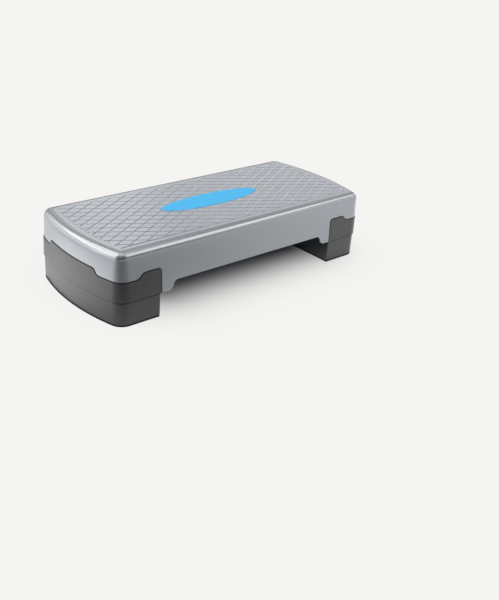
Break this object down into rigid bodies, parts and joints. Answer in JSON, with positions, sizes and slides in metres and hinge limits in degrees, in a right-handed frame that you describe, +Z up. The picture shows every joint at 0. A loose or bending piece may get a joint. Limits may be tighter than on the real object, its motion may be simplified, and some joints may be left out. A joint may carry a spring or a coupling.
{
  "type": "aerobic step platform",
  "caption": "Two-level exercise step: long silver-grey moulded deck with a diamond tread and a blue oval inset, on dark end legs that stand on lift-off risers.",
  "frame": {"origin": "middle of the footprint, on the floor", "axes": "+X along the deck, +Y across it, +Z up"},
  "size_m": [0.6796, 0.287, 0.148],
  "materials": {
    "deck_plastic": "silver-grey moulded plastic, satin",
    "pad_blue": "sky-blue inset, satin",
    "leg_plastic": "charcoal moulded plastic, fine grain",
    "riser_plastic": "charcoal moulded plastic, fine grain",
    "foot_rubber": "soft black rubber",
    "screw_steel": "zinc plated"
  },
  "bodies": {
    "deck": {"deck": "deck_plastic", "oval_pad": "pad_blue", "left_leg": "leg_plastic", "left_leg_screws": "screw_steel", "left_leg_foot_front_inner": "foot_rubber", "left_leg_foot_front_outer": "foot_rubber", "left_leg_foot_back_inner": "foot_rubber", "left_leg_foot_back_outer": "foot_rubber", "right_leg": "leg_plastic", "right_leg_screws": "screw_steel", "right_leg_foot_front_inner": "foot_rubber", "right_leg_foot_front_outer": "foot_rubber", "right_leg_foot_back_inner": "foot_rubber", "right_leg_foot_back_outer": "foot_rubber"},
    "left_riser": {"left_riser": "riser_plastic", "left_riser_foot_front_inner": "foot_rubber", "left_riser_foot_front_outer": "foot_rubber", "left_riser_foot_back_inner": "foot_rubber", "left_riser_foot_back_outer": "foot_rubber"},
    "right_riser": {"right_riser": "riser_plastic", "right_riser_foot_front_inner": "foot_rubber", "right_riser_foot_front_outer": "foot_rubber", "right_riser_foot_back_inner": "foot_rubber", "right_riser_foot_back_outer": "foot_rubber"}
  },
  "joints": [
    {"name": "left_riser_lift", "type": "slide", "parent": "deck", "child": "left_riser", "axis": [0, 0, -1], "range_m": [0, 0.06]},
    {"name": "right_riser_lift", "type": "slide", "parent": "deck", "child": "right_riser", "axis": [0, 0, -1], "range_m": [0, 0.06]}
  ]
}
